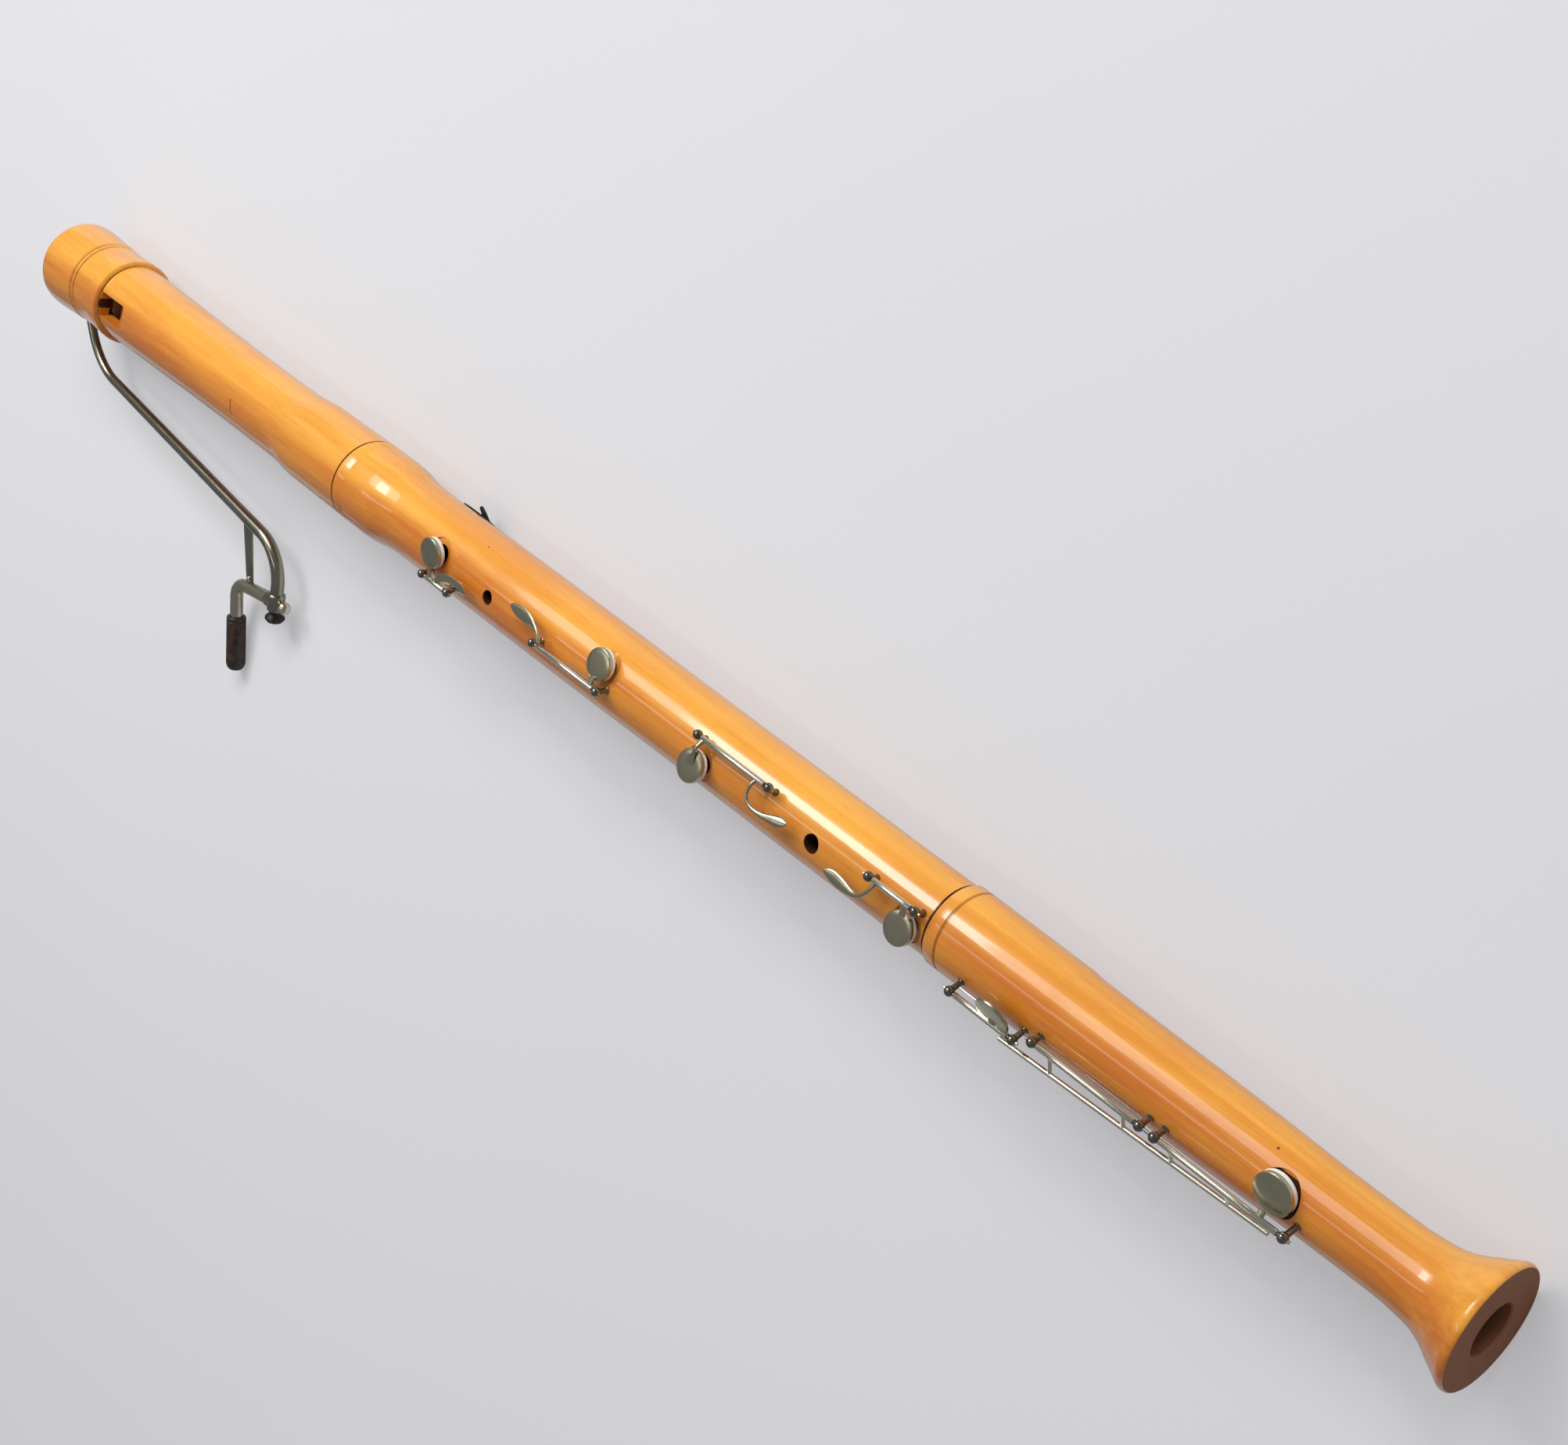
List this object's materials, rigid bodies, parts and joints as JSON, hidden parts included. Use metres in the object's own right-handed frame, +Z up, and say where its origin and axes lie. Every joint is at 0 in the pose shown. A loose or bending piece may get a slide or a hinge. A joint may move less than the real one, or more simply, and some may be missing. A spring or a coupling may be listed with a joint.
{
  "type": "bass recorder",
  "caption": "Wooden bass recorder lying on its back, with bell foot, keyed middle joint, head, cap, blowing crook and mouthpiece.",
  "frame": {"origin": "centre of the bottom of the bounding box, on the surface that the instrument lies on", "axes": "+X along the body from the bell to the cap, +Y sideways to the crook, +Z up, as the finger holes face"},
  "size_m": [0.9522, 0.181, 0.0525],
  "materials": {
    "wood": "honey-orange turned hardwood under clear gloss lacquer",
    "block_wood": "unlacquered cedar",
    "cork": "waxed cork wrapping",
    "nickel_silver": "polished nickel silver, slightly dulled",
    "steel": "plain steel",
    "dark_metal": "dark semi-gloss",
    "pad_leather": "pale soft leather over felt",
    "ebonite": "dark brown hard rubber"
  },
  "bodies": {
    "middle_body": {"middle_joint": "wood", "foot_tenon_cork": "cork", "head_tenon_cork": "cork", "sling_plate": "nickel_silver", "sling_loop": "steel", "sling_screw_1": "steel", "sling_screw_2": "steel", "key_1_lower_post": "nickel_silver", "key_1_upper_post": "nickel_silver", "key_1_pin": "steel", "key_1_spring": "steel", "key_3_lower_post": "nickel_silver", "key_3_upper_post": "nickel_silver", "key_3_pin": "steel", "key_3_spring": "steel", "key_4_lower_post": "nickel_silver", "key_4_upper_post": "nickel_silver", "key_4_pin": "steel", "key_4_spring": "steel", "key_6_lower_post": "nickel_silver", "key_6_upper_post": "nickel_silver", "key_6_pin": "steel", "key_6_spring": "steel"},
    "foot_body": {"foot_joint": "wood", "foot_touch_lower_post": "nickel_silver", "foot_touch_upper_post": "nickel_silver", "foot_touch_pin": "steel", "foot_touch_spring": "steel", "foot_cup_lower_post": "nickel_silver", "foot_cup_lower_middle_post": "nickel_silver", "foot_cup_upper_middle_post": "nickel_silver", "foot_cup_upper_post": "nickel_silver", "foot_cup_pin": "steel", "foot_cup_spring": "steel"},
    "head_body": {"head_joint": "wood", "windway_block": "block_wood", "cap_tenon_cork": "cork"},
    "cap_body": {"head_cap": "wood", "crook_socket": "nickel_silver"},
    "crook_body": {"crook_tube": "nickel_silver", "drain_elbow": "nickel_silver", "elbow_ball": "nickel_silver", "mouth_pipe": "nickel_silver", "crook_brace": "nickel_silver", "brace_rivet": "nickel_silver", "mouthpiece": "ebonite"},
    "stopper_body": {"drain_stopper": "dark_metal"},
    "foot_touch_body": {"foot_touch_lever": "nickel_silver"},
    "foot_cup_body": {"foot_cup_lever": "nickel_silver", "foot_key_pad": "pad_leather"},
    "key_1_body": {"key_1_lever": "nickel_silver", "key_1_pad": "pad_leather"},
    "key_3_body": {"key_3_lever": "nickel_silver", "key_3_pad": "pad_leather"},
    "key_4_body": {"key_4_lever": "nickel_silver", "key_4_pad": "pad_leather"},
    "key_6_body": {"key_6_lever": "nickel_silver", "key_6_pad": "pad_leather"}
  },
  "joints": [
    {"name": "foot_twist", "type": "hinge", "parent": "middle_body", "child": "foot_body", "pos_m": [-0.2336, -0.06607, 0.0244], "axis": [1, 0, 0], "range_deg": [-45, 45]},
    {"name": "head_twist", "type": "hinge", "parent": "middle_body", "child": "head_body", "pos_m": [0.1759, -0.06607, 0.0244], "axis": [1, 0, 0], "range_deg": [-45, 45]},
    {"name": "cap_twist", "type": "hinge", "parent": "head_body", "child": "cap_body", "pos_m": [0.4139, -0.06607, 0.0244], "axis": [1, 0, 0], "range_deg": [-90, 90]},
    {"name": "crook_swivel", "type": "hinge", "parent": "cap_body", "child": "crook_body", "pos_m": [0.4649, -0.04474, 0.02174], "axis": [-0.5, 0.8594, -0.1071], "range_deg": [-20, 20]},
    {"name": "drain_stopper_pull", "type": "slide", "parent": "crook_body", "child": "stopper_body", "axis": [0, 0.9923, -0.1236], "range_m": [0, 0.008]},
    {"name": "key_1_hinge", "type": "hinge", "parent": "middle_body", "child": "key_1_body", "pos_m": [0.08296, -0.05751, 0.0467], "axis": [1, 0, 0], "range_deg": [0, 15], "stiffness_Nm_per_rad": 0.004, "springref_deg": -28.65},
    {"name": "key_3_hinge", "type": "hinge", "parent": "middle_body", "child": "key_3_body", "pos_m": [-0.0151, -0.06505, 0.04791], "axis": [1, 0, 0], "range_deg": [0, 15], "stiffness_Nm_per_rad": 0.004, "springref_deg": -28.65},
    {"name": "key_4_hinge", "type": "hinge", "parent": "middle_body", "child": "key_4_body", "pos_m": [-0.12011, -0.07656, 0.04453], "axis": [-1, 0, 0], "range_deg": [0, 15], "stiffness_Nm_per_rad": 0.004, "springref_deg": -28.65},
    {"name": "key_6_hinge", "type": "hinge", "parent": "middle_body", "child": "key_6_body", "pos_m": [-0.21632, -0.07273, 0.04552], "axis": [-1, 0, 0], "range_deg": [0, 15], "stiffness_Nm_per_rad": 0.004, "springref_deg": -28.65},
    {"name": "foot_touch_hinge", "type": "hinge", "parent": "foot_body", "child": "foot_touch_body", "pos_m": [-0.27139, -0.05446, 0.04494], "axis": [1, 0, 0], "range_deg": [0, 19], "stiffness_Nm_per_rad": 0.004, "springref_deg": -28.65},
    {"name": "foot_cup_hinge", "type": "hinge", "parent": "foot_body", "child": "foot_cup_body", "pos_m": [-0.3526, -0.05828, 0.04418], "axis": [1, 0, 0], "range_deg": [0, 14], "stiffness_Nm_per_rad": 0.004, "springref_deg": -28.65}
  ],
  "couplings": [
    {"joint": "foot_cup_hinge", "follows": "foot_touch_hinge", "ratio": 0.7365}
  ]
}
